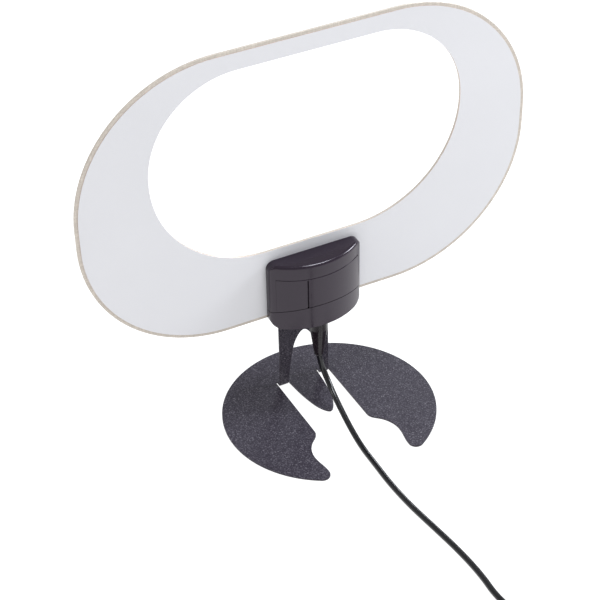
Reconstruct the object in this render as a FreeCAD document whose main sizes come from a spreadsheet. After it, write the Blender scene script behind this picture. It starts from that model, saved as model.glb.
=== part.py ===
"""Indoor loop antenna: an oblong ring panel on a leaning sheet-steel stand.

Millimetres, +Z up. The origin is the centre of the stand's disk, on the surface it rests on.
+X is to the right and +Y to the back, so the curved front of the housing faces -Y.

Everything above the disk leans a little to the front. Those pieces are drawn upright in the
leaning frame, whose origin is the foot of the bracket's front face, and LEAN then places them.
"""
import FreeCAD, Part
import math
import os
import Sketcher

V = FreeCAD.Vector
X_AXIS, Y_AXIS, Z_AXIS = V(1, 0, 0), V(0, 1, 0), V(0, 0, 1)

doc = FreeCAD.newDocument("loop_antenna")
sheet = doc.addObject("Spreadsheet::Sheet", "dims")

DIMENSIONS = [
    # stand: one disk of sheet steel with the bracket cut out of it and bent up
    ("disk_radius", 60), ("plate_thick", 1.0), ("bend_radius", 1.5), ("lean_angle", 2.52),
    ("bracket_y", 30.7), ("slot_half", 16.25), ("relief_depth", 2.0), ("tongue_half", 9.3),
    ("tongue_tip_y", -2.2), ("leg_outer", 15.3), ("leg_inner", 10.2), ("arch_top", 37.0),
    ("head_half", 24.6), ("head_top", 84.0), ("lobe_radius", 4.3), ("lobe_tip_x", 28.6),
    # ring panel, measured along the leaning frame's height
    ("panel_offset", 11.7), ("panel_half", 128.6), ("panel_low", 63.8), ("panel_high", 232.3),
    ("panel_corner", 78.5), ("laminate_thick", 1.3), ("foil_thick", 0.1), ("mask_thick", 0.1),
    ("mask_margin", 1.8), ("feed_gap", 5.0),
    ("window_half", 88.6), ("window_low", 107.4), ("window_high", 221.1),
    ("window_corner_low", 62.0), ("window_corner_high", 50.0),
    # housing
    ("case_half", 27.3), ("case_low", 59.4), ("case_high", 101.0), ("case_corner_low", 6.0),
    ("case_corner_high", 4.5), ("case_bulge", 14.8), ("case_front_curve", 40.0),
    ("case_side_curve", 4.0), ("case_rear", 4.5), ("case_rear_high", 93.0), ("case_wall", 2.0),
    ("case_edge", 1.8), ("seam_middle", 73.7), ("seam_curve", 106.0), ("seam_gap", 0.35),
    ("panel_seat_gap", 0.1), ("field_half", 24.6), ("field_top", 92.3), ("field_rise", 0.22),
    ("groove_x", -9.2), ("groove_wide", 0.8), ("groove_deep", 0.7),
    # cable, boot and inner parts
    ("cable_radius", 1.65), ("cable_axis", 18.7), ("boot_radius", 5.0), ("boot_tip_radius", 2.5),
    ("boot_low", 33.5), ("boot_shoulder", 52.0), ("boot_neck", 4.0), ("boot_flange", 5.3),
    ("board_half", 17.5), ("board_low", 73.0), ("board_high", 97.0), ("board_thick", 1.0),
    ("board_front", 17.6), ("screw_radius", 1.3), ("fit_gap", 0.05), ("moving_gap", 0.35),
    # coil of spare cable and the plug
    ("coil_inner", 11.7), ("coil_outer", 26.95), ("coil_height", 6.75), ("coil_edge", 1.6),
    ("coil_x", -14.0), ("coil_y", -208.0),
    ("plug_axis_z", 5.6), ("grip_radius", 5.5), ("grip_length", 24.0), ("sleeve_radius", 4.75),
    ("sleeve_bore", 4.2), ("sleeve_length", 10.0), ("pin_radius", 1.2), ("relief_length", 12.0),
]
for row, (alias, value) in enumerate(DIMENSIONS, start=1):
    sheet.set("A%d" % row, alias)
    sheet.set("B%d" % row, str(value))
    sheet.setAlias("B%d" % row, alias)
doc.recompute()


def dim(alias):
    return float(getattr(sheet, alias))


def value_of(expression):
    """The present value of an expression over the sheet, worked out in a spare cell."""
    sheet.set("D1", "=" + expression.replace("dims.", ""))
    sheet.recompute()
    value = float(sheet.get("D1"))
    sheet.clear("D1")
    return value


LEAN = FreeCAD.Placement(V(0, dim("bracket_y"), 0), FreeCAD.Rotation(X_AXIS, dim("lean_angle")))
PANEL_FRONT = -dim("panel_offset")
PANEL_THICK = dim("mask_thick") + dim("foil_thick") + dim("laminate_thick")
PANEL_REAR = PANEL_FRONT + PANEL_THICK
CASE_FRONT = PANEL_FRONT - dim("case_bulge")
CABLE_Y = -dim("cable_axis")

pieces = []


def keep(obj, label, placement=LEAN):
    """Name a finished piece and put it in its place."""
    obj.Label = label
    obj.Placement = placement
    pieces.append(obj)
    return obj


def at(x, y, z, axis=Z_AXIS, angle=0.0):
    return FreeCAD.Placement(V(x, y, z), FreeCAD.Rotation(axis, angle))


def combine(kind, name, base, tool):
    obj = doc.addObject(kind, name)
    obj.Base, obj.Tool = base, tool
    return obj


def cut(name, base, tool):
    return combine("Part::Cut", name, base, tool)


def fuse(name, *shapes):
    obj = doc.addObject("Part::MultiFuse", name)
    obj.Shapes = list(shapes)
    return obj


def group(name, *shapes):
    """Identical separate solids that share one node."""
    obj = doc.addObject("Part::Compound", name)
    obj.Links = list(shapes)
    return obj


def rod(name, x, y, z, radius, length, axis=Y_AXIS):
    """A cylinder from the given point along +Z, or along +Y when the axis says so."""
    turn = at(x, y, z) if axis == Z_AXIS else at(x, y, z, X_AXIS, -90)
    obj = doc.addObject("Part::Cylinder", name)
    obj.Placement = turn
    bind(obj, Radius=radius, Height=length)
    return obj


def bind(obj, **sizes):
    """Set each size from a number, or from an expression over the sheet."""
    for prop, size in sizes.items():
        if isinstance(size, str):
            obj.setExpression(prop, size)
        else:
            setattr(obj, prop, size)


def block(name, x, y, z, **sizes):
    obj = doc.addObject("Part::Box", name)
    obj.Placement = at(x, y, z)
    bind(obj, **sizes)
    return obj


# ---- sketches ------------------------------------------------------------------------------
# the Sketcher's own numbers: a curve's start, end and centre; the origin and the vertical axis
START, END, CENTRE = 1, 2, 3
ORIGIN, UPRIGHT = -1, -2


def constrain(sketch, name, expression, *spec):
    index = sketch.addConstraint(Sketcher.Constraint(*spec))
    sketch.renameConstraint(index, name)
    sketch.setExpression("Constraints.%s" % name, expression)


def rounded_rectangle(sketch, half, low, high, corner_low, corner_high):
    """A rectangle about the sketch's vertical axis with round corners, all five sizes bound.

    Each size is an expression over the sheet; its present value places the first geometry.
    """
    a, b, t, rb, rt = [value_of(e) for e in (half, low, high, corner_low, corner_high)]

    def arc(x, z, r, start):
        circle = Part.Circle(V(x, z, 0), Z_AXIS, r)
        return Part.ArcOfCircle(circle, math.radians(start), math.radians(start + 90))

    def line(x0, z0, x1, z1):
        return Part.LineSegment(V(x0, z0, 0), V(x1, z1, 0))

    first = sketch.GeometryCount
    sketch.addGeometry([
        line(-a + rb, b, a - rb, b), arc(a - rb, b + rb, rb, -90), line(a, b + rb, a, t - rt),
        arc(a - rt, t - rt, rt, 0), line(a - rt, t, -a + rt, t), arc(-a + rt, t - rt, rt, 90),
        line(-a, t - rt, -a, b + rb), arc(-a + rb, b + rb, rb, 180)], False)
    for i in range(8):
        sketch.addConstraint(Sketcher.Constraint("Tangent", first + i, END, first + (i + 1) % 8, START))
    for i, rule in ((0, "Horizontal"), (2, "Vertical"), (4, "Horizontal"), (6, "Vertical")):
        sketch.addConstraint(Sketcher.Constraint(rule, first + i))
    tag = "w%d_" % first
    constrain(sketch, tag + "right", half, "DistanceX", ORIGIN, START, first + 2, START, a)
    constrain(sketch, tag + "left", half, "DistanceX", first + 6, START, ORIGIN, START, a)
    constrain(sketch, tag + "low", low, "DistanceY", ORIGIN, START, first, START, b)
    constrain(sketch, tag + "high", high, "DistanceY", ORIGIN, START, first + 4, START, t)
    for i, radius, value in ((1, corner_low, rb), (7, corner_low, rb),
                             (3, corner_high, rt), (5, corner_high, rt)):
        constrain(sketch, tag + "corner%d" % i, radius, "Radius", first + i, value)


def d_profile(sketch, half, back, front, front_curve, side_curve):
    """The housing's plan: straight back, short sides, small round corners, arched front."""
    a, y0, y1, big, small = [value_of(e) for e in (half, back, front, front_curve, side_curve)]
    centre_y = y1 + big
    small_y = centre_y - math.sqrt((big - small) ** 2 - (a - small) ** 2)
    meet = math.atan2(small_y - centre_y, a - small)

    def small_arc(x, start, end):
        return Part.ArcOfCircle(Part.Circle(V(x, small_y, 0), Z_AXIS, small), start, end)

    front_circle = Part.Circle(V(0, centre_y, 0), Z_AXIS, big)
    sketch.addGeometry([
        Part.LineSegment(V(a, y0, 0), V(-a, y0, 0)),
        Part.LineSegment(V(-a, y0, 0), V(-a, small_y, 0)),
        small_arc(-a + small, math.pi, math.pi - meet),
        Part.ArcOfCircle(front_circle, math.pi - meet, 2 * math.pi + meet),
        small_arc(a - small, meet, 0),
        Part.LineSegment(V(a, small_y, 0), V(a, y0, 0))], False)
    for i, j, rule in ((0, 1, "Coincident"), (1, 2, "Tangent"), (2, 3, "Tangent"),
                       (3, 4, "Tangent"), (4, 5, "Tangent"), (5, 0, "Coincident")):
        sketch.addConstraint(Sketcher.Constraint(rule, i, END, j, START))
    sketch.addConstraint(Sketcher.Constraint("Horizontal", 0))
    sketch.addConstraint(Sketcher.Constraint("Vertical", 1))
    sketch.addConstraint(Sketcher.Constraint("Vertical", 5))
    sketch.addConstraint(Sketcher.Constraint("PointOnObject", 3, CENTRE, UPRIGHT))
    constrain(sketch, "right", half, "DistanceX", ORIGIN, START, 5, START, a)
    constrain(sketch, "left", half, "DistanceX", 1, START, ORIGIN, START, a)
    constrain(sketch, "back", "-(%s)" % back, "DistanceY", 0, START, ORIGIN, START, -y0)
    constrain(sketch, "front_curve", front_curve, "Radius", 3, big)
    constrain(sketch, "side_left", side_curve, "Radius", 2, small)
    constrain(sketch, "side_right", side_curve, "Radius", 4, small)
    constrain(sketch, "centre", "(%s) + (%s)" % (front, front_curve),
              "DistanceY", ORIGIN, START, 3, CENTRE, centre_y)


def upright_sketch(name, y):
    """A sketch that faces the front: its second axis is the height, at depth y."""
    sketch = doc.addObject("Sketcher::SketchObject", name)
    sketch.Placement = at(0, y, 0, X_AXIS, 90)
    return sketch


def extrude(name, sketch, direction, length):
    obj = doc.addObject("Part::Extrusion", name)
    obj.Base, obj.DirMode, obj.Dir, obj.Solid = sketch, "Custom", direction, True
    obj.setExpression("LengthFwd", length)
    return obj


# ---- stand ---------------------------------------------------------------------------------

def mirrored(points):
    return [V(-p.x, p.y, p.z) for p in reversed(points)]


def spline(points, start=None, end=None):
    curve = Part.BSplineCurve()
    if start is None:
        curve.interpolate(Points=points)
    else:
        curve.interpolate(Points=points, InitialTangent=start, FinalTangent=end)
    return curve.toShape()


def stand_plate():
    """One sheet of steel: the disk, and the two-legged bracket cut from it and bent up.

    The flat outlines hold free curves read off the object by eye, so they are made here from
    points; the sizes that other pieces rely on come from the sheet.
    """
    radius, thick = dim("disk_radius"), dim("plate_thick")
    inner, lean = dim("bend_radius"), math.radians(dim("lean_angle"))
    outer = inner + thick
    bend_y = dim("bracket_y") + (outer - math.sin(lean) * outer) / math.cos(lean)
    rise = outer * (1 - math.sin(lean)) / math.cos(lean)
    half, tongue = dim("slot_half"), dim("tongue_half")
    rear, deep = bend_y, bend_y + dim("relief_depth")

    # the gap between the disk's two lobes, from the relief notches to the rounded lobe tips
    lobe, lobe_x = dim("lobe_radius"), dim("lobe_tip_x")
    lobe_y = -math.sqrt((radius - lobe) ** 2 - lobe_x ** 2)
    side = [V(half, -14, 0), V(20.6, -21, 0), V(25.0, -28.2, 0), V(25.9, -34.5, 0),
            V(24.9, -41.5, 0), V(lobe_x - lobe, lobe_y, 0)]
    flank = [V(tongue, rear, 0), V(8.1, 20, 0), V(6.4, 10, 0), V(3.9, 2.2, 0),
             V(0, dim("tongue_tip_y"), 0)]
    tongue_edge = spline(flank + mirrored(flank)[1:])
    lobe_centre = V(lobe_x, lobe_y, 0)
    outward = V(lobe_centre).normalize()
    meet = lobe_centre + outward * lobe
    bulge = lobe_centre + (outward - X_AXIS).normalize() * lobe
    root_in, root_out = dim("leg_inner"), dim("leg_outer")
    down = V(0, -1, 0)

    def half_gap(sign):
        def flip(p):
            return V(sign * p.x, p.y, 0)

        rim = [V(half, -14, 0), V(half, deep, 0), V(root_out, deep, 0), V(root_out, rear, 0),
               V(root_in, rear, 0), V(root_in, deep, 0), V(tongue, deep, 0), V(tongue, rear, 0)]
        edges = [Part.LineSegment(flip(p), flip(q)).toShape() for p, q in zip(rim, rim[1:])]
        edges.append(spline([flip(p) for p in side], down, down))
        edges.append(Part.Arc(flip(side[-1]), flip(bulge), flip(meet)).toShape())
        return edges

    rim_arc = Part.Arc(V(-meet.x, meet.y, 0), V(0, radius, 0), meet).toShape()
    outline = Part.Wire(Part.__sortEdges__(half_gap(1) + half_gap(-1) + [tongue_edge, rim_arc]))
    disk = Part.Face(outline).extrude(V(0, 0, thick))

    # the bend: each leg's root, revolved about the bend's axis
    bends = []
    for x in (root_in, -root_out):
        section = Part.Face(Part.makePolygon([
            V(x, bend_y, 0), V(x + root_out - root_in, bend_y, 0),
            V(x + root_out - root_in, bend_y, thick), V(x, bend_y, thick), V(x, bend_y, 0)]))
        bends.append(section.revolve(V(0, bend_y, outer), V(-1, 0, 0), 90 - dim("lean_angle")))

    # the bracket's own outline, upright, then leaned: legs, arch, shoulders and head
    top, wide = dim("head_top"), dim("head_half")
    crown = 4.0
    side_x = wide - 1.2
    arch = [V(root_in, 0, rise), V(9.1, 0, 12.5), V(7.4, 0, 22.5), V(4.7, 0, 32.0),
            V(0, 0, dim("arch_top"))]
    shoulder = [V(root_out, 0, 46.5), V(19.5, 0, 53.5), V(wide - 0.5, 0, 60.7), V(wide, 0, 66),
                V(wide - 0.7, 0, 71), V(side_x, 0, 76)]
    corner, corner_end = V(side_x, 0, top - crown), V(side_x - crown, 0, top)
    corner_middle = V(side_x - crown * (1 - math.sqrt(0.5)), 0, top - crown * (1 - math.sqrt(0.5)))
    up = V(0, 0, 1)

    def half_bracket(sign):
        def flip(p):
            return V(sign * p.x, 0, p.z)

        edges = [Part.LineSegment(flip(V(root_in, 0, rise)), flip(V(root_out, 0, rise))).toShape(),
                 Part.LineSegment(flip(V(root_out, 0, rise)), flip(shoulder[0])).toShape(),
                 spline([flip(p) for p in shoulder], up, up),
                 Part.LineSegment(flip(shoulder[-1]), flip(corner)).toShape(),
                 Part.Arc(flip(corner), flip(corner_middle), flip(corner_end)).toShape()]
        return edges

    top_edge = Part.LineSegment(V(-corner_end.x, 0, top), corner_end).toShape()
    arch_edge = spline(arch + mirrored(arch)[1:])
    sides = half_bracket(1) + half_bracket(-1)
    bracket_wire = Part.Wire(Part.__sortEdges__(sides + [top_edge, arch_edge]))
    bracket = Part.Face(bracket_wire).extrude(V(0, thick, 0))
    bracket.Placement = LEAN
    return disk.fuse([bracket] + bends).removeSplitter()


plate = doc.addObject("Part::Feature", "plate")
plate.Shape = stand_plate()
keep(plate, "stand_plate", FreeCAD.Placement())


# ---- ring panel ----------------------------------------------------------------------------

CASE_SCREW_X, CASE_SCREW_Z = 20.5, 88.0
CONTACT_X, CONTACT_Z, CONTACT_RADIUS = 9.0, 84.0, 1.5
SCREW_WAY = 1.6


def front_sketch(body, name):
    """A sketch in the body's upright plane."""
    plane = [f for f in body.Origin.OriginFeatures if f.Role == "XZ_Plane"][0]
    sketch = body.newObject("Sketcher::SketchObject", name)
    sketch.AttachmentSupport, sketch.MapMode = (plane, ""), "FlatFace"
    return sketch


def pocket_through(body, sketch):
    pocket = body.newObject("PartDesign::Pocket", sketch.Name + "_pocket")
    pocket.Profile, pocket.Type, pocket.Midplane = sketch, "ThroughAll", True


def ring(name, label, y, length, margin, gap=None):
    """One layer of the panel: its outline less the window and the two screw holes.

    The foil also has a gap right through its bottom run, where the loop is fed.
    """
    body = doc.addObject("PartDesign::Body", name)
    outline = front_sketch(body, name + "_outline")
    inset = "dims." + margin if margin else "0"
    rounded_rectangle(outline, "dims.panel_half - " + inset, "dims.panel_low + " + inset,
                      "dims.panel_high - " + inset, "dims.panel_corner - " + inset,
                      "dims.panel_corner - " + inset)
    pad = body.newObject("PartDesign::Pad", name + "_pad")
    pad.Profile, pad.Reversed = outline, True
    pad.setExpression("Length", length)
    window = front_sketch(body, name + "_window")
    rounded_rectangle(window, "dims.window_half", "dims.window_low", "dims.window_high",
                      "dims.window_corner_low", "dims.window_corner_high")
    for x in (-CASE_SCREW_X, CASE_SCREW_X):
        window.addGeometry(Part.Circle(V(x, CASE_SCREW_Z, 0), Z_AXIS, SCREW_WAY), False)
    pocket_through(body, window)
    if gap:
        low, high, half = dim("panel_low") - 1, dim("window_low") + 1, dim(gap) / 2
        corners = [V(-half, low, 0), V(half, low, 0), V(half, high, 0), V(-half, high, 0)]
        slit = front_sketch(body, name + "_gap")
        slit.addGeometry([Part.LineSegment(p, q) for p, q in zip(corners, corners[1:] + corners[:1])], False)
        pocket_through(body, slit)
    doc.recompute()
    return keep(body, label, LEAN * at(0, y, 0))


ring("mask_body", "front_coating", PANEL_FRONT, "dims.mask_thick", "mask_margin")
ring("foil_body", "radiating_loop", PANEL_FRONT + dim("mask_thick"), "dims.foil_thick",
     "mask_margin", gap="feed_gap")
ring("laminate_body", "panel_laminate", PANEL_FRONT + dim("mask_thick") + dim("foil_thick"),
     "dims.laminate_thick", None)


# ---- housing -------------------------------------------------------------------------------

def case_solid(name, wall):
    """The housing's outer form, or its inner form one wall smaller: arched front, rear block."""
    w = "0" if wall is None else "dims." + wall
    value = 0 if wall is None else dim(wall)
    plan = doc.addObject("Sketcher::SketchObject", name + "_plan")
    plan.Placement = at(0, 0, dim("case_low") + value)
    d_profile(plan, "dims.case_half - " + w, "-dims.panel_offset",
              "-dims.panel_offset - dims.case_bulge + " + w,
              "dims.case_front_curve - " + w, "dims.case_side_curve - " + w)
    column = extrude(name + "_column", plan, Z_AXIS, "dims.case_high - dims.case_low - 2 * " + w)
    face = upright_sketch(name + "_face", CASE_FRONT - 1)
    rounded_rectangle(face, "dims.case_half - " + w, "dims.case_low + " + w,
                      "dims.case_high - " + w,
                      "dims.case_corner_low - " + w, "dims.case_corner_high - " + w)
    slab = extrude(name + "_slab", face, Y_AXIS, "dims.case_bulge + 1")
    front = doc.addObject("Part::MultiCommon", name + "_front")
    front.Shapes = [column, slab]
    back_face = upright_sketch(name + "_back_face", PANEL_FRONT)
    rounded_rectangle(back_face, "dims.case_half - " + w, "dims.case_low + " + w,
                      "dims.case_rear_high - " + w,
                      "dims.case_corner_low - " + w, "dims.case_corner_high - " + w)
    back = extrude(name + "_back", back_face, Y_AXIS, "dims.case_rear + dims.panel_offset - " + w)
    doc.recompute()
    return front, back


def round_edges(name, base, radius, chosen):
    """Fillet the base's edges that the test picks from their middle points and lengths."""
    doc.recompute()
    fillet = doc.addObject("Part::Fillet", name)
    fillet.Base = base
    picked = []
    for i, edge in enumerate(base.Shape.Edges, start=1):
        middle = edge.valueAt((edge.FirstParameter + edge.LastParameter) / 2)
        if chosen(middle, edge.Length):
            picked.append((i, radius, radius))
    fillet.Edges = picked
    doc.recompute()
    return fillet


outer_front, outer_back = case_solid("outer", None)
inner_front, inner_back = case_solid("inner", "case_wall")

RIM_Z = dim("case_high") - 1.5 * dim("case_corner_high")
REAR_ROUND = 3.5


def is_front_rim(middle, length):
    """The top edge of the arched front, without the short edges at its two ends."""
    return middle.z > RIM_Z and middle.y < PANEL_FRONT - 3 and length > 4 and abs(middle.x) < 26


def is_rear_rim(middle, length):
    return middle.y > dim("case_rear") - 0.01


soft_front = round_edges("outer_front_soft", outer_front, dim("case_edge"), is_front_rim)
soft_back = round_edges("outer_back_soft", outer_back, REAR_ROUND, is_rear_rim)
hollow = cut("case_hollow", fuse("case_outer", soft_front, soft_back),
             fuse("case_inner", inner_front, inner_back))


def below_seam(name, drop):
    """Everything under the arched seam line, lowered by drop."""
    top, curve = dim("seam_middle") - drop, dim("seam_curve")
    reach, floor = 40.0, 40.0
    end = top - curve + math.sqrt(curve ** 2 - reach ** 2)
    face = upright_sketch(name + "_face", CASE_FRONT - 2)
    face.addGeometry([
        Part.LineSegment(V(-reach, floor, 0), V(reach, floor, 0)),
        Part.LineSegment(V(reach, floor, 0), V(reach, end, 0)),
        Part.Arc(V(reach, end, 0), V(0, top, 0), V(-reach, end, 0)),
        Part.LineSegment(V(-reach, end, 0), V(-reach, floor, 0))], False)
    return extrude(name, face, Y_AXIS, "dims.case_bulge + 2")


def space(name, depth):
    """A block around the whole housing, from before its front to the given depth behind it."""
    return block(name, -40, CASE_FRONT - 2, 40, Length=80, Width=depth, Height=80)


cover_space = cut("cover_space", space("front_space", "dims.case_bulge + 2"),
                  below_seam("cover_floor", 0.0))
above_seam = cut("above_seam", space("front_space_again", "dims.case_bulge + 2"),
                 below_seam("base_ceiling", dim("seam_gap")))
base_space = cut("base_space", space("whole_space", 50), above_seam)


def front_boss(name, x, z, radius, rear, depth):
    """A post inside the front cover, from its front wall back to rear, drilled for a screw."""
    post = rod(name, x, CASE_FRONT, z, radius, rear - CASE_FRONT)
    trimmed = doc.addObject("Part::MultiCommon", name + "_trimmed")
    trimmed.Shapes = [post, outer_front]
    return cut(name + "_drilled", trimmed, rod(name + "_pilot", x, rear - depth, z, PILOT, depth + 1))


def each_side(make):
    return [make(sign) for sign in (-1, 1)]


SCREW = dim("screw_radius")
PILOT = SCREW + dim("fit_gap")
BOARD_FRONT = -dim("board_front")
BOARD_REAR = BOARD_FRONT + dim("board_thick")
BOARD_SCREW_X, BOARD_SCREW_Z = 14.0, 80.0
BOSS_RADIUS, BOARD_BOSS_RADIUS = 2.6, 2.2

cover_shell = doc.addObject("Part::MultiCommon", "cover_shell")
cover_shell.Shapes = [hollow, cover_space]
cover_bosses = each_side(lambda s: front_boss(
    "case_boss%d" % (s + 1), s * CASE_SCREW_X, CASE_SCREW_Z, BOSS_RADIUS, PANEL_FRONT, 5.5))
cover_bosses += each_side(lambda s: front_boss(
    "board_boss%d" % (s + 1), s * BOARD_SCREW_X, BOARD_SCREW_Z, BOARD_BOSS_RADIUS, BOARD_FRONT, 3.5))

# a thin raised field on the cover's front, from just above the seam to its upper line, and in
# it a fine upright groove
CURVE_Y = CASE_FRONT + dim("case_front_curve")
FIELD_LOW, FIELD_MARGIN = 60, 0.4
field_disk = rod("field_disk", 0, CURVE_Y, FIELD_LOW, "dims.case_front_curve + dims.field_rise",
                 "dims.field_top - %g" % FIELD_LOW, Z_AXIS)
field_core = rod("field_core", 0, CURVE_Y, FIELD_LOW - 1, "dims.case_front_curve - 0.6",
                 "dims.field_top - %g" % (FIELD_LOW - 2), Z_AXIS)
field_reach = block("field_reach", -dim("field_half"), CASE_FRONT - 1, FIELD_LOW,
                    Length="2 * dims.field_half", Width=20, Height=40)
field = doc.addObject("Part::MultiCommon", "field")
field.Shapes = [cut("field_shell", field_disk, field_core),
                cut("field_space", field_reach, below_seam("field_floor", -FIELD_MARGIN))]
GROOVE_LOW = 70
groove = block("groove", dim("groove_x") - dim("groove_wide") / 2, CASE_FRONT - 1, GROOVE_LOW,
               Length="dims.groove_wide", Width="dims.groove_deep + 2",
               Height="dims.field_top - 0.5 - %g" % GROOVE_LOW)
cover_whole = fuse("front_cover_whole", cover_shell, field, *cover_bosses)
keep(cut("front_cover_grooved", cover_whole, groove), "front_cover")

# base shell: the rear wall, the bottom, and the front up to the seam, around the panel's edge
GAP = dim("moving_gap")
SOCKET_FRONT = -3.0
SEAT_DEEP, SEAT_RADIUS = 1.7, 2.7
base_shell = doc.addObject("Part::MultiCommon", "base_shell_blank")
base_shell.Shapes = [hollow, base_space]
panel_seat = block("panel_seat", -40, PANEL_FRONT - 0.01, dim("panel_low") - dim("panel_seat_gap"),
                   Length=80, Width=PANEL_THICK + 0.02, Height=60)
bracket_slot = block("bracket_slot", -dim("head_half") - GAP, -GAP, dim("case_low") - 1,
                     Length=2 * (dim("head_half") + GAP), Width=dim("plate_thick") + 2 * GAP, Height=5)
boot_hole = rod("boot_hole", 0, CABLE_Y, dim("case_low") - 1, "dims.boot_neck + dims.fit_gap", 5, Z_AXIS)
rear_inner = dim("case_rear") - dim("case_wall")
rear_bosses = each_side(lambda s: rod("rear_boss%d" % (s + 1), s * CASE_SCREW_X, PANEL_REAR,
                                      CASE_SCREW_Z, BOSS_RADIUS, rear_inner - PANEL_REAR + 0.5))
screw_ways = each_side(lambda s: rod("screw_way%d" % (s + 1), s * CASE_SCREW_X, PANEL_REAR - 1,
                                     CASE_SCREW_Z, SCREW_WAY, 20))
screw_seats = each_side(lambda s: rod("screw_seat%d" % (s + 1), s * CASE_SCREW_X,
                                      dim("case_rear") - SEAT_DEEP, CASE_SCREW_Z, SEAT_RADIUS, 3))
RIB_FRONT, RIB_HALF, CLAMP_SCREW_X = -17.2, 9.0, 6.0
CLAMP_LOW, CLAMP_HIGH = 64.5, 69.5
CLAMP_MIDDLE = (CLAMP_LOW + CLAMP_HIGH) / 2
cable_rib = block("cable_rib", -RIB_HALF, RIB_FRONT, dim("case_low") + 1.5,
                  Length=2 * RIB_HALF, Width=4.2, Height=8.6)
flange_way = rod("flange_way", 0, CABLE_Y, dim("case_low") + 1,
                 "dims.boot_flange + dims.fit_gap", 2.9, Z_AXIS)
lead_way = rod("lead_way", 0, CABLE_Y, dim("case_low"), "dims.cable_radius + dims.fit_gap", 12, Z_AXIS)
rib_pilots = each_side(lambda s: rod("rib_pilot%d" % (s + 1), s * CLAMP_SCREW_X, RIB_FRONT - 1,
                                     CLAMP_MIDDLE, PILOT, 4.6))
rib_cleared = cut("cable_rib_cleared", cable_rib, flange_way)
base_solid = fuse("base_solid", base_shell, rib_cleared, *rear_bosses)
base_cuts = fuse("base_cuts", panel_seat, bracket_slot, boot_hole, lead_way,
                 *(screw_ways + screw_seats + rib_pilots))
keep(cut("base_shell_whole", base_solid, base_cuts), "base_shell")

# bracket socket: a block on the rear wall whose blind slot takes the bracket's head
SOCKET_LOW, SOCKET_HIGH, SOCKET_HALF = 65.0, 85.2, 25.1
socket = block("socket_block", -SOCKET_HALF, SOCKET_FRONT, SOCKET_LOW, Length=2 * SOCKET_HALF,
               Width=rear_inner - SOCKET_FRONT, Height=SOCKET_HIGH - SOCKET_LOW)
socket_slot = block("socket_slot", -dim("head_half") - GAP, -GAP, SOCKET_LOW - 5,
                    Length=2 * (dim("head_half") + GAP), Width=dim("plate_thick") + 2 * GAP,
                    Height=dim("head_top") + GAP - SOCKET_LOW + 5)
keep(cut("socket_whole", socket, socket_slot), "bracket_socket")


def pan_screw(name, x, y, z, length, faces_front):
    """A pan-head screw along Y; its shank runs away from the side that its head faces."""
    head_high, head_radius = 1.5, 2.4
    cross_half, cross_arm, cross_deep = 1.4, 0.25, 0.6
    shank_y = y if faces_front else y - length
    head_y = y - head_high if faces_front else y
    cross_y = head_y - 0.1 if faces_front else head_y + head_high - cross_deep
    shank = rod(name + "_shank", x, shank_y, z, "dims.screw_radius", length)
    head = rod(name + "_head", x, head_y, z, head_radius, head_high)
    level = block(name + "_level", x - cross_half, cross_y, z - cross_arm,
                  Length=2 * cross_half, Width=cross_deep + 0.1, Height=2 * cross_arm)
    upright = block(name + "_upright", x - cross_arm, cross_y, z - cross_half,
                    Length=2 * cross_arm, Width=cross_deep + 0.1, Height=2 * cross_half)
    return cut(name, fuse(name + "_blank", shank, head), fuse(name + "_recess", level, upright))


seat_y = dim("case_rear") - SEAT_DEEP
case_screws = each_side(lambda s: pan_screw("case_screw%d" % (s + 1), s * CASE_SCREW_X, seat_y,
                                            CASE_SCREW_Z, seat_y - PANEL_FRONT + 4.5, False))
keep(group("case_screw_pair", *case_screws), "case_screws")
board_screws = each_side(lambda s: pan_screw("board_screw%d" % (s + 1), s * BOARD_SCREW_X, BOARD_REAR,
                                             BOARD_SCREW_Z, 4.0, False))
keep(group("board_screw_pair", *board_screws), "board_screws")

# ---- circuit in the housing ----------------------------------------------------------------

board = block("board_blank", -dim("board_half"), BOARD_FRONT, dim("board_low"),
              Length="2 * dims.board_half", Width="dims.board_thick",
              Height="dims.board_high - dims.board_low")
board_holes = each_side(lambda s: rod("board_hole%d" % (s + 1), s * BOARD_SCREW_X, BOARD_FRONT - 1,
                                      BOARD_SCREW_Z, PILOT + 0.1, 3))
keep(cut("board", board, fuse("board_cuts", *board_holes)), "amplifier_board")

can = block("can_outer", -6, BOARD_FRONT - 3.2, 82, Length=12, Width=3.2, Height=12)
can_inside = block("can_inner", -5.6, BOARD_FRONT - 2.8, 82.4, Length=11.2, Width=2.9, Height=11.2)
keep(cut("can", can, can_inside), "shield_can")

toroid = doc.addObject("Part::Torus", "toroid")
toroid.Placement = at(12, BOARD_FRONT - 1.25, 91, X_AXIS, 90)
toroid.Radius1, toroid.Radius2 = 2.6, 1.2
keep(toroid, "balun_core", LEAN * toroid.Placement)

CHIP_STEP = 2.4
chip_places = [(-14.5 + CHIP_STEP * i, 90) for i in range(3)]
chip_places += [(-3.6 + CHIP_STEP * i, 78) for i in range(4)]
chips = [block("chip%d" % i, x, BOARD_FRONT - 0.8, z, Length=1.2, Width=0.8, Height=2.0)
         for i, (x, z) in enumerate(chip_places)]
keep(group("chips", *chips), "chip_parts")

for side, word in ((-1, "left"), (1, "right")):
    post = rod("contact_" + word, side * CONTACT_X, BOARD_REAR, CONTACT_Z, CONTACT_RADIUS,
               PANEL_FRONT - BOARD_REAR)
    keep(post, "feed_contact_" + word, LEAN * post.Placement)

# ---- cable in the housing ------------------------------------------------------------------

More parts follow.
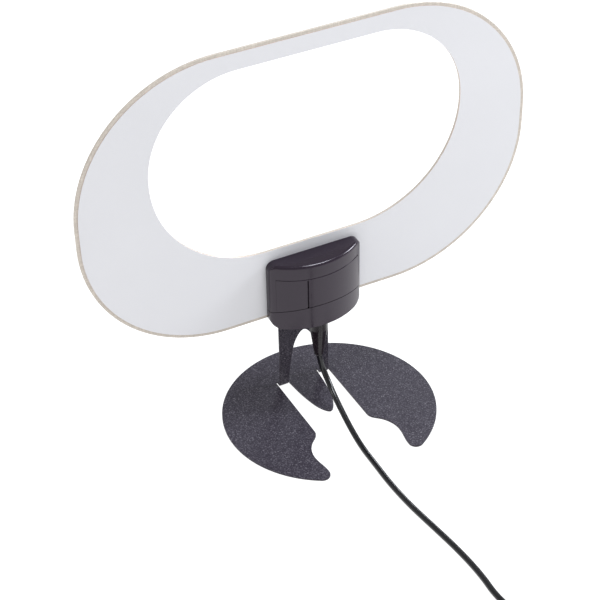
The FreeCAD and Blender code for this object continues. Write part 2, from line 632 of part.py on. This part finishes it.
JACKET_END, CORE_END, WIRE_END = 70.5, 73.5, 75.5
jacket = rod("lead_jacket", 0, CABLE_Y, dim("boot_low"), "dims.cable_radius",
             "%g - dims.boot_low" % JACKET_END, Z_AXIS)
core = rod("lead_core", 0, CABLE_Y, JACKET_END, 1.0, CORE_END - JACKET_END, Z_AXIS)
wire = rod("lead_wire", 0, CABLE_Y, CORE_END, 0.35, WIRE_END - CORE_END, Z_AXIS)
keep(fuse("lead", jacket, core, wire), "inner_lead")

CLAMP_HALF, CLAMP_FRONT = 8.5, CABLE_Y - 3.2
clamp_block = block("clamp_block", -CLAMP_HALF, CLAMP_FRONT, CLAMP_LOW, Length=2 * CLAMP_HALF,
                    Width=RIB_FRONT - CLAMP_FRONT, Height=CLAMP_HIGH - CLAMP_LOW)
clamp_notch = rod("clamp_notch", 0, CABLE_Y, CLAMP_LOW - 1, "dims.cable_radius", 8, Z_AXIS)
clamp_ways = each_side(lambda s: rod("clamp_way%d" % (s + 1), s * CLAMP_SCREW_X, CLAMP_FRONT - 1,
                                     CLAMP_MIDDLE, PILOT, 6))
keep(cut("clamp", clamp_block, fuse("clamp_cuts", clamp_notch, *clamp_ways)), "cable_clamp")
clamp_screws = each_side(lambda s: pan_screw("clamp_screw%d" % (s + 1), s * CLAMP_SCREW_X, CLAMP_FRONT,
                                             CLAMP_MIDDLE, 7.5, True))
keep(group("clamp_screw_pair", *clamp_screws), "clamp_screws")


def revolved(name, profile):
    """A solid turned about the height axis from a closed (radius, height) outline."""
    body = doc.addObject("PartDesign::Body", name)
    sketch = front_sketch(body, name + "_profile")
    points = [V(r, height, 0) for r, height in profile]
    sketch.addGeometry([Part.LineSegment(p, q) for p, q in zip(points, points[1:] + points[:1])], False)
    turn = body.newObject("PartDesign::Revolution", name + "_turn")
    turn.Profile = sketch
    turn.ReferenceAxis = (sketch, ["V_Axis"])
    turn.Angle = 360
    doc.recompute()
    return body


bore, tip, fat, neck = dim("cable_radius"), dim("boot_tip_radius"), dim("boot_radius"), dim("boot_neck")
shoulder, low, case_low = dim("boot_shoulder"), dim("boot_low"), dim("case_low")
flange, flange_low, flange_high = dim("boot_flange"), case_low + dim("case_wall"), case_low + 3.8
boot = revolved("boot", [
    (bore, low), (tip, low), (tip + 0.15, low + 0.4), (tip + 0.15, low + 2.2), (tip + 0.35, low + 2.4),
    (fat, shoulder), (fat, case_low), (neck, case_low), (neck, flange_low), (flange, flange_low),
    (flange, flange_high), (bore, flange_high)])
keep(boot, "cable_boot", LEAN * at(0, CABLE_Y, 0))

# ---- free cable, coil and plug -------------------------------------------------------------

# the route of the free cable, by hand: out of the boot, down to the table, and away to the front
CABLE_ROUTE = [
    (0, 10.6, 32.4), (0.8, 10.2, 25.2), (2.1, 6.0, 17.6), (2.1, -1.4, 12.0), (1.3, -12.0, 8.3),
    (0.5, -25, 4.4), (-0.1, -39, 1.65), (-0.4, -55, 1.65), (-0.9, -72, 1.65), (0.1, -92, 1.65),
    (2.8, -113, 1.65), (5.2, -133, 1.65), (6.2, -153, 1.65), (4.9, -170, 1.65), (8.2, -187, 1.65),
    (11.2, -200, 1.65)]


def tube(route, radius):
    """Straight runs joined by tangent arcs, each arc as large as its two runs allow."""
    points = [V(*p) for p in route]
    radii, edges, mark = [], [], points[0]
    for a, b, c in zip(points, points[1:], points[2:]):
        into, away = (b - a), (c - b)
        half_turn = into.getAngle(away) / 2
        reach = 0.45 * min(into.Length, away.Length)
        radii.append(reach / math.tan(half_turn))
        start, end = b - into.normalize() * reach, b + away.normalize() * reach
        inward = (start + end) * 0.5 - b
        arc_middle = b + inward.normalize() * radii[-1] * (1 / math.cos(half_turn) - 1)
        edges.append(Part.LineSegment(mark, start).toShape())
        edges.append(Part.Arc(start, arc_middle, end).toShape())
        mark = end
    edges.append(Part.LineSegment(mark, points[-1]).toShape())
    path = Part.Wire(edges)
    section = Part.Wire(Part.Circle(points[0], points[1] - points[0], radius).toShape())
    print("tube: length %.1f, tightest arc %.1f" % (path.Length, min(radii)))
    return path.makePipeShell([section], True, False)


cable = doc.addObject("Part::Feature", "cable")
cable.Shape = tube(CABLE_ROUTE, dim("cable_radius"))
keep(cable, "coax_cable", FreeCAD.Placement())

COIL = V(dim("coil_x"), dim("coil_y"), 0)
inner, outer, high, soft = dim("coil_inner"), dim("coil_outer"), dim("coil_height"), dim("coil_edge")
coil = revolved("coil", [
    (inner + soft, 0), (outer - soft, 0), (outer, soft), (outer, high - soft),
    (outer - soft, high), (inner + soft, high), (inner, high - soft), (inner, soft)])
keep(coil, "cable_coil", FreeCAD.Placement(COIL, FreeCAD.Rotation()))

# the tie goes round the coil's bundle; its bottom run presses into the turns above it
TIE_ANGLE, TIE_THICK, TIE_WIDE, TIE_GAP = 150.0, 0.5, 3.0, 0.05
tie_outer = block("tie_outer", inner - TIE_THICK - TIE_GAP, -TIE_WIDE / 2, 0,
                  Length=outer - inner + 2 * (TIE_THICK + TIE_GAP), Width=TIE_WIDE,
                  Height=high + TIE_THICK)
tie_inner = block("tie_inner", inner - TIE_GAP, -TIE_WIDE, TIE_THICK,
                  Length=outer - inner + 2 * TIE_GAP, Width=3 * TIE_WIDE,
                  Height=high - TIE_THICK + 0.02)
keep(cut("tie", tie_outer, tie_inner), "cable_tie",
     FreeCAD.Placement(COIL, FreeCAD.Rotation(Z_AXIS, TIE_ANGLE)))

PLUG_BACK_X = -44.0
PLUG_Y = dim("coil_y") - 24.5
AXIS_Z = dim("plug_axis_z")
LEAD_ROUTE = [(-15.5, PLUG_Y + 0.2, 4.95), (-26, PLUG_Y - 0.3, 5.1), (PLUG_BACK_X + 6, PLUG_Y, AXIS_Z),
              (PLUG_BACK_X, PLUG_Y, AXIS_Z)]
lead = doc.addObject("Part::Feature", "plug_lead")
lead.Shape = tube(LEAD_ROUTE, dim("cable_radius"))
keep(lead, "coax_plug_lead", FreeCAD.Placement())

# the plug is drawn standing on its cable end, then laid down with its pin towards -X
PLUG_PLACE = at(PLUG_BACK_X, PLUG_Y, AXIS_Z, Y_AXIS, -90)
relief, grip_r = dim("relief_length"), dim("grip_radius")
grip_end = relief + dim("grip_length")
sleeve_r, sleeve_end = dim("sleeve_radius"), grip_end + dim("sleeve_length")
ridge_deep, ridge_gap, ridge_step = 0.6, 1.2, 4

keep(revolved("plug_relief_body", [(0, 0), (2.4, 0), (3.8, relief - 0.5), (3.8, relief), (0, relief)]),
     "plug_relief", PLUG_PLACE)

grip_outline = [(0, relief), (grip_r - 0.8, relief), (grip_r, relief + 0.8)]
for i in range(4):
    start = relief + ridge_step * (i + 1)
    grip_outline += [(grip_r, start), (grip_r - ridge_deep, start),
                     (grip_r - ridge_deep, start + ridge_gap), (grip_r, start + ridge_gap)]
grip_outline += [(grip_r, grip_end - 0.8), (grip_r - 0.4, grip_end), (0, grip_end)]
keep(revolved("plug_grip_body", grip_outline), "plug_grip", PLUG_PLACE)

keep(revolved("plug_sleeve_body", [
    (dim("sleeve_bore"), grip_end), (sleeve_r, grip_end), (sleeve_r, sleeve_end - 0.4),
    (sleeve_r - 0.2, sleeve_end), (dim("sleeve_bore"), sleeve_end)]), "plug_sleeve", PLUG_PLACE)
keep(revolved("plug_insulator_body", [
    (dim("pin_radius"), grip_end), (dim("sleeve_bore"), grip_end), (dim("sleeve_bore"), grip_end + 2.5),
    (dim("pin_radius"), grip_end + 2.5)]), "plug_insulator", PLUG_PLACE)
pin_r = dim("pin_radius")
keep(revolved("plug_pin_body", [
    (0, grip_end), (pin_r, grip_end), (pin_r, sleeve_end - 0.3), (pin_r * 0.6, sleeve_end + 0.5),
    (0, sleeve_end + 0.7)]), "plug_pin", PLUG_PLACE)

# ---- check every object, then write each piece ---------------------------------------------

doc.recompute()
for obj in doc.Objects:
    if "Invalid" in obj.State or "Error" in obj.State:
        raise RuntimeError("%s failed: %s" % (obj.Name, obj.State))
for obj in pieces:
    if obj.Shape.isNull() or not obj.Shape.isValid() or not obj.Shape.Solids:
        raise RuntimeError("%s has no valid solid" % obj.Label)

os.makedirs("parts", exist_ok=True)
for obj in pieces:
    obj.Shape.exportStep("parts/%s.step" % obj.Label)
print("wrote %d parts" % len(pieces))
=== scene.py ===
"""Looks of the indoor loop antenna: materials, the smooth cord, and the photographed view."""
import math

import bpy
from mathutils import Matrix, Vector


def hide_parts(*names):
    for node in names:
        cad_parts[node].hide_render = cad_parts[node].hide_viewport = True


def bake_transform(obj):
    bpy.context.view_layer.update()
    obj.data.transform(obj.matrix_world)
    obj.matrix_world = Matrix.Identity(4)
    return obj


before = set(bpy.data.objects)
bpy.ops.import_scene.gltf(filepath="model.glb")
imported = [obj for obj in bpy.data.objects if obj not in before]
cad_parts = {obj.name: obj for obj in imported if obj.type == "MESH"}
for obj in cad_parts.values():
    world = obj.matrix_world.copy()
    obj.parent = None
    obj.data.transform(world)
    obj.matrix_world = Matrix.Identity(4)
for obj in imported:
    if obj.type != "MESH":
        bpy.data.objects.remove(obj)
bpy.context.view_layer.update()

MM = 0.001


# ---- camera --------------------------------------------------------------------------------
# The photograph's camera stands to the front left and looks down; it is rolled a little.
CAMERA_PLACE = Vector((-329.9, -677.3, 620.3)) * MM
AZIMUTH, ELEVATION, ROLL = (math.radians(a) for a in (-24.94, 35.84, -2.6))
LENS_MM, SENSOR_MM = 104.33, 36.0


def photograph_camera():
    back = Vector((math.sin(AZIMUTH) * math.cos(ELEVATION),
                   -math.cos(AZIMUTH) * math.cos(ELEVATION), math.sin(ELEVATION)))
    right = Vector((0, 0, 1)).cross(back).normalized()
    up = back.cross(right)
    rolled_right = math.cos(ROLL) * right + math.sin(ROLL) * up
    rolled_up = math.cos(ROLL) * up - math.sin(ROLL) * right
    data = bpy.data.cameras.new("camera")
    data.lens, data.sensor_width = LENS_MM, SENSOR_MM
    data.clip_end = 20
    camera = bpy.data.objects.new("camera", data)
    turn = Matrix((rolled_right, rolled_up, back)).transposed().to_4x4()
    camera.matrix_world = Matrix.Translation(CAMERA_PLACE) @ turn
    bpy.context.scene.collection.objects.link(camera)
    bpy.context.scene.camera = camera


photograph_camera()


# ---- materials -----------------------------------------------------------------------------

class Paint:
    """A principled material whose patterns lie in the object's own frame, in metres."""

    def __init__(self, name, colour, roughness, metallic=0.0, specular=0.5):
        self.material = bpy.data.materials.new(name)
        self.material.use_nodes = True
        self.tree = self.material.node_tree
        self.shader = self.tree.nodes["Principled BSDF"]
        self.colour, self.roughness = colour, roughness
        self.shader.inputs["Base Color"].default_value = (*colour, 1)
        self.shader.inputs["Roughness"].default_value = roughness
        self.shader.inputs["Metallic"].default_value = metallic
        self.shader.inputs["Specular IOR Level"].default_value = specular
        self.place = self.node("ShaderNodeTexCoord").outputs["Object"]

    def node(self, kind, **settings):
        made = self.tree.nodes.new(kind)
        for key, value in settings.items():
            setattr(made, key, value)
        return made

    def link(self, source, target):
        self.tree.links.new(source, target)

    def noise(self, scale, detail=3.0, stretch=None):
        """Noise whose grains are about 1/scale metres; stretch scales each axis first."""
        texture = self.node("ShaderNodeTexNoise")
        texture.inputs["Scale"].default_value = scale
        texture.inputs["Detail"].default_value = detail
        source = self.place
        if stretch:
            mapping = self.node("ShaderNodeMapping")
            mapping.inputs["Scale"].default_value = stretch
            self.link(self.place, mapping.inputs["Vector"])
            source = mapping.outputs["Vector"]
        self.link(source, texture.inputs["Vector"])
        return texture.outputs["Fac"]

    def ramp(self, source, stops):
        """Colours along a value: stops are (position, colour)."""
        ramp = self.node("ShaderNodeValToRGB")
        while len(ramp.color_ramp.elements) < len(stops):
            ramp.color_ramp.elements.new(0.5)
        for element, (position, colour) in zip(ramp.color_ramp.elements, stops):
            element.position = position
            element.color = (*colour, 1)
        self.link(source, ramp.inputs["Fac"])
        return ramp.outputs["Color"]

    def paint_colour(self, source):
        self.link(source, self.shader.inputs["Base Color"])

    def vary_colour(self, source, amount, start=0.35, end=0.65):
        """Base colour between (1 - amount) and (1 + amount) times the plain colour."""
        low = tuple(c * (1 - amount) for c in self.colour)
        high = tuple(min(c * (1 + amount), 1) for c in self.colour)
        self.paint_colour(self.ramp(source, [(start, low), (end, high)]))

    def vary_roughness(self, source, amount):
        low, high = (self.roughness - amount,) * 3, (self.roughness + amount,) * 3
        self.link(self.ramp(source, [(0.35, low), (0.65, high)]), self.shader.inputs["Roughness"])

    def bump(self, source, depth, strength=1.0):
        """Relief of the given depth in metres."""
        bump = self.node("ShaderNodeBump")
        bump.inputs["Strength"].default_value = strength
        bump.inputs["Distance"].default_value = depth
        self.link(source, bump.inputs["Height"])
        self.link(bump.outputs["Normal"], self.shader.inputs["Normal"])


def powder_coat():
    """Fine-textured black powder coat; its colour has painted shade in the pits and small painted
    pale glints on the rises.
    """
    paint = Paint("powder_coat", (0.030, 0.026, 0.036), 0.52, specular=0.24)
    grain = paint.noise(1300, 2.0)
    # the ramp follows the same grain as the relief: its darkest stop is painted shade in the pits,
    # its palest stop is painted glints on the rises
    paint.paint_colour(paint.ramp(grain, [
        (0.30, (0.015, 0.012, 0.021)), (0.50, (0.036, 0.030, 0.044)), (0.62, (0.066, 0.058, 0.077)),
        (0.72, (0.16, 0.15, 0.17))]))
    paint.vary_roughness(paint.noise(420), 0.10)
    paint.bump(grain, 0.00012, 0.8)
    return paint.material


def lacquer():
    """Grey-white satin lacquer over the foil, with a faint print-like mottle."""
    paint = Paint("lacquer", (0.725, 0.722, 0.748), 0.38)
    paint.vary_colour(paint.noise(14, 2.0), 0.012)
    paint.vary_roughness(paint.noise(60), 0.05)
    paint.bump(paint.noise(900, 2.0), 0.00002, 0.5)
    return paint.material


def laminate():
    """Bare glass-fibre laminate: warm beige with the weave showing faintly."""
    paint = Paint("laminate", (0.59, 0.53, 0.465), 0.45)
    fine, drawn_out = 1300, 160
    across = paint.noise(1.0, 1.0, (fine, fine, drawn_out))
    along = paint.noise(1.0, 1.0, (drawn_out, fine, fine))
    weave = paint.node("ShaderNodeMath", operation="MULTIPLY")
    paint.link(across, weave.inputs[0])
    paint.link(along, weave.inputs[1])
    paint.vary_colour(weave.outputs["Value"], 0.10, 0.15, 0.40)
    paint.bump(weave.outputs["Value"], 0.00003, 0.5)
    return paint.material


def gloss_plastic():
    """Polished black moulding with a slight haze; its reflections are a little purple."""
    paint = Paint("gloss_plastic", (0.013, 0.007, 0.016), 0.18)
    paint.shader.inputs["Specular Tint"].default_value = (1.0, 0.93, 1.0, 1)
    paint.vary_roughness(paint.noise(150, 4.0), 0.05)
    paint.bump(paint.noise(420, 3.0), 0.00002, 0.3)
    return paint.material


def black_plastic(name, roughness):
    """Matt moulded plastic with spark-eroded grain."""
    paint = Paint(name, (0.028, 0.027, 0.030), roughness)
    grain = paint.noise(1600, 2.0)
    paint.vary_colour(grain, 0.25)
    paint.vary_roughness(paint.noise(300), 0.06)
    paint.bump(grain, 0.00004, 0.5)
    return paint.material


def vinyl(name, colour, roughness, specular):
    """Smooth PVC with slight unevenness in its colour, shine and surface."""
    paint = Paint(name, colour, roughness, specular=specular)
    paint.vary_roughness(paint.noise(250, 3.0), 0.05)
    paint.vary_colour(paint.noise(90), 0.15)
    paint.bump(paint.noise(500, 2.0), 0.00003, 0.3)
    return paint.material


def metal(name, colour, roughness, scale=900):
    """Bare metal with fine grain about 1/scale metres across."""
    paint = Paint(name, colour, roughness, metallic=1.0)
    paint.vary_colour(paint.noise(scale / 6), 0.06)
    paint.vary_roughness(paint.noise(scale), 0.06)
    paint.bump(paint.noise(scale, 2.0), 0.00002, 0.4)
    return paint.material


def board_green():
    """Solder resist with paler tracks under it."""
    paint = Paint("board_green", (0.02, 0.16, 0.07), 0.35)
    tracks = paint.node("ShaderNodeTexBrick")
    tracks.inputs["Scale"].default_value = 160
    tracks.inputs["Color1"].default_value = (0.015, 0.13, 0.055, 1)
    tracks.inputs["Color2"].default_value = (0.02, 0.17, 0.07, 1)
    tracks.inputs["Mortar"].default_value = (0.05, 0.26, 0.12, 1)
    paint.link(paint.place, tracks.inputs["Vector"])
    paint.paint_colour(tracks.outputs["Color"])
    return paint.material


def speckled(name, colour, roughness, scale, amount):
    """A plain colour with grains of it a little lighter and darker."""
    paint = Paint(name, colour, roughness)
    grain = paint.noise(scale, 3.0)
    paint.vary_colour(grain, amount)
    paint.bump(grain, 0.00003, 0.5)
    return paint.material


POWDER = powder_coat()
LACQUER = lacquer()
LAMINATE = laminate()
GLOSS = gloss_plastic()
MATT = black_plastic("matt_plastic", 0.55)
CORD_VINYL = vinyl("cord_vinyl", (0.004, 0.004, 0.006), 0.20, 0.5)
BOOT_VINYL = vinyl("boot_vinyl", (0.008, 0.004, 0.007), 0.26, 0.38)
COPPER = metal("copper", (0.80, 0.42, 0.28), 0.35)
BRASS = metal("brass", (0.80, 0.60, 0.26), 0.28)
STEEL = metal("zinc_steel", (0.58, 0.58, 0.60), 0.32)
TIN = metal("tin_plate", (0.66, 0.66, 0.65), 0.38, 400)
NICKEL = metal("nickel", (0.74, 0.72, 0.69), 0.16)
FINISHES = {
    "stand_plate": POWDER,
    "front_coating": LACQUER,
    "radiating_loop": COPPER,
    "panel_laminate": LAMINATE,
    "front_cover": GLOSS,
    "base_shell": GLOSS,
    "bracket_socket": MATT,
    "cable_clamp": MATT,
    "case_screws": STEEL,
    "board_screws": STEEL,
    "clamp_screws": STEEL,
    "amplifier_board": board_green(),
    "shield_can": TIN,
    "balun_core": speckled("ferrite", (0.05, 0.05, 0.055), 0.6, 1500, 0.3),
    "chip_parts": speckled("ceramic", (0.36, 0.26, 0.16), 0.4, 900, 0.2),
    "feed_contact_left": BRASS,
    "feed_contact_right": BRASS,
    "inner_lead": CORD_VINYL,
    "cable_boot": BOOT_VINYL,
    "cable_tie": MATT,
    "plug_relief": BOOT_VINYL,
    "plug_grip": BOOT_VINYL,
    "plug_sleeve": NICKEL,
    "plug_pin": NICKEL,
    "plug_insulator": speckled("insulator", (0.78, 0.77, 0.72), 0.45, 600, 0.04),
}


def finish_nodes():
    for name, material in FINISHES.items():
        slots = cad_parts[name].data.materials
        slots.clear()
        slots.append(material)


finish_nodes()


# ---- stage and light -----------------------------------------------------------------------

FLOOR_DROP = 0.0002


def floor():
    """A wide pale floor that gives off light, so that no shadow shows, as in the photograph."""
    size = 6.0
    paint = Paint("floor_paint", (0.25, 0.25, 0.25), 0.8, specular=0.0)
    paint.shader.inputs["Emission Color"].default_value = (1, 1, 1, 1)
    paint.shader.inputs["Emission Strength"].default_value = 0.98
    corners = [(-size, -size, 0), (size, -size, 0), (size, size, 0), (-size, size, 0)]
    mesh = bpy.data.meshes.new("floor")
    mesh.from_pydata(corners, [], [(0, 1, 2, 3)])
    mesh.materials.append(paint.material)
    plane = bpy.data.objects.new("floor", mesh)
    plane.location.z = -FLOOR_DROP
    bpy.context.scene.collection.objects.link(plane)


LIT_POINT = Vector((0, 0, 0.1))
COOL, COOLER = (0.90, 0.95, 1.0), (0.88, 0.94, 1.0)


def area_light(name, place, size, power, colour=(1, 1, 1)):
    """A round lamp that points at the part's middle."""
    data = bpy.data.lights.new(name, "AREA")
    data.shape = "DISK"
    data.size, data.energy, data.color = size, power, colour
    light = bpy.data.objects.new(name, data)
    light.location = place
    light.rotation_euler = (LIT_POINT - Vector(place)).to_track_quat("-Z", "Y").to_euler()
    bpy.context.scene.collection.objects.link(light)


def studio():
    """Even white surroundings, and the lamps that the housing and the lead reflect."""
    world = bpy.data.worlds.new("studio")
    world.use_nodes = True
    background = world.node_tree.nodes["Background"]
    background.inputs["Color"].default_value = (1, 1, 1, 1)
    background.inputs["Strength"].default_value = 0.50
    bpy.context.scene.world = world
    bpy.context.scene.view_settings.view_transform = "Standard"
    area_light("overhead", (0.40, -0.20, 1.45), 0.5, 12, COOL)
    area_light("right_softbox", (1.35, -0.32, 0.85), 0.5, 14, COOL)
    area_light("left_lamp", (-1.2, 0.2, 0.7), 0.25, 2)
    area_light("back_right_strip", (1.0, 1.25, 0.55), 0.45, 7, COOLER)


floor()
studio()


# ---- cord ----------------------------------------------------------------------------------
# The route repeats part.py's: out of the boot, down to the table and away to the front.
CORD_RADIUS = 1.65
CORD_ROUTE = [
    (0, 10.6, 32.4), (0.8, 10.2, 25.2), (2.1, 6.0, 17.6), (2.1, -1.4, 12.0), (1.3, -12.0, 8.3),
    (0.5, -25, 4.4), (-0.1, -39, 1.65), (-0.4, -55, 1.65), (-0.9, -72, 1.65), (0.1, -92, 1.65),
    (2.8, -113, 1.65), (5.2, -133, 1.65), (6.2, -153, 1.65), (4.9, -170, 1.65), (8.2, -187, 1.65),
    (11.2, -200, 1.65)]
# from the end of the coil into the plug's relief
LEAD_ROUTE = [(-26, -232.8, 5.1), (-38, -232.5, 5.6), (-44, -232.5, 5.6)]
COIL_X, COIL_Y = -14.0, -208.0
COIL_TURNS, POINTS_A_TURN = 7.25, 16
# the outermost turn's radius, the step from turn to turn, and where the second layer starts
COIL_WIDE, COIL_PITCH, CLIMB_TURN = 25.2, 3.34, 3.5
# the climb takes half a turn, to just over one cord's thickness
CLIMB_TURNS, CLIMB_HEIGHT = 0.5, 2.02 * CORD_RADIUS


def smooth(t):
    """A soft step from 0 to 1."""
    t = min(max(t, 0.0), 1.0)
    return t * t * (3 - 2 * t)


def coil_points():
    """Two layers of turns: inwards on the table, then up and outwards on top of them."""
    points = []
    narrow = COIL_WIDE - COIL_PITCH * CLIMB_TURN
    for i in range(int(COIL_TURNS * POINTS_A_TURN) + 1):
        turn = i / POINTS_A_TURN
        since_climb = turn - CLIMB_TURN
        if since_climb < 0:
            radius = COIL_WIDE - COIL_PITCH * turn
        else:
            radius = narrow + COIL_PITCH * max(since_climb - CLIMB_TURNS, 0)
        height = CORD_RADIUS + CLIMB_HEIGHT * smooth(since_climb / CLIMB_TURNS)
        angle = -2 * math.pi * turn
        points.append((COIL_X + radius * math.cos(angle), COIL_Y + radius * math.sin(angle), height))
    return points


def nurbs(name, points, bevel=0.0):
    """An order 3 curve through the table of points, given in millimetres."""
    data = bpy.data.curves.new(name, "CURVE")
    data.dimensions = "3D"
    data.resolution_u = 8
    spline = data.splines.new("NURBS")
    spline.points.add(len(points) - 1)
    for target, point in zip(spline.points, points):
        target.co = (*(c * MM for c in point), 1)
    spline.order_u = 3
    spline.use_endpoint_u = True
    data.bevel_depth = bevel * MM
    data.bevel_resolution = 5
    data.use_fill_caps = True
    return bpy.data.objects.new(name, data)


def line_of(curve):
    """The points of a curve that has no bevel, in order."""
    mesh = bpy.data.meshes.new_from_object(curve)
    return [v.co.copy() for v in mesh.vertices]


def free_cord():
    """One smooth cord in place of the three CAD pieces of the lead."""
    route = CORD_ROUTE + coil_points() + LEAD_ROUTE
    line = line_of(nurbs("cord_line", route))
    mesh = bpy.data.meshes.new_from_object(nurbs("cord_form", route, CORD_RADIUS))
    mesh.name = "cord"
    for polygon in mesh.polygons:
        polygon.use_smooth = True
    cord = bpy.data.objects.new("cord", mesh)
    bpy.context.scene.collection.objects.link(cord)
    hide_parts("coax_cable", "cable_coil", "coax_plug_lead")
    mesh.materials.clear()
    mesh.materials.append(CORD_VINYL)
    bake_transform(cord)


free_cord()
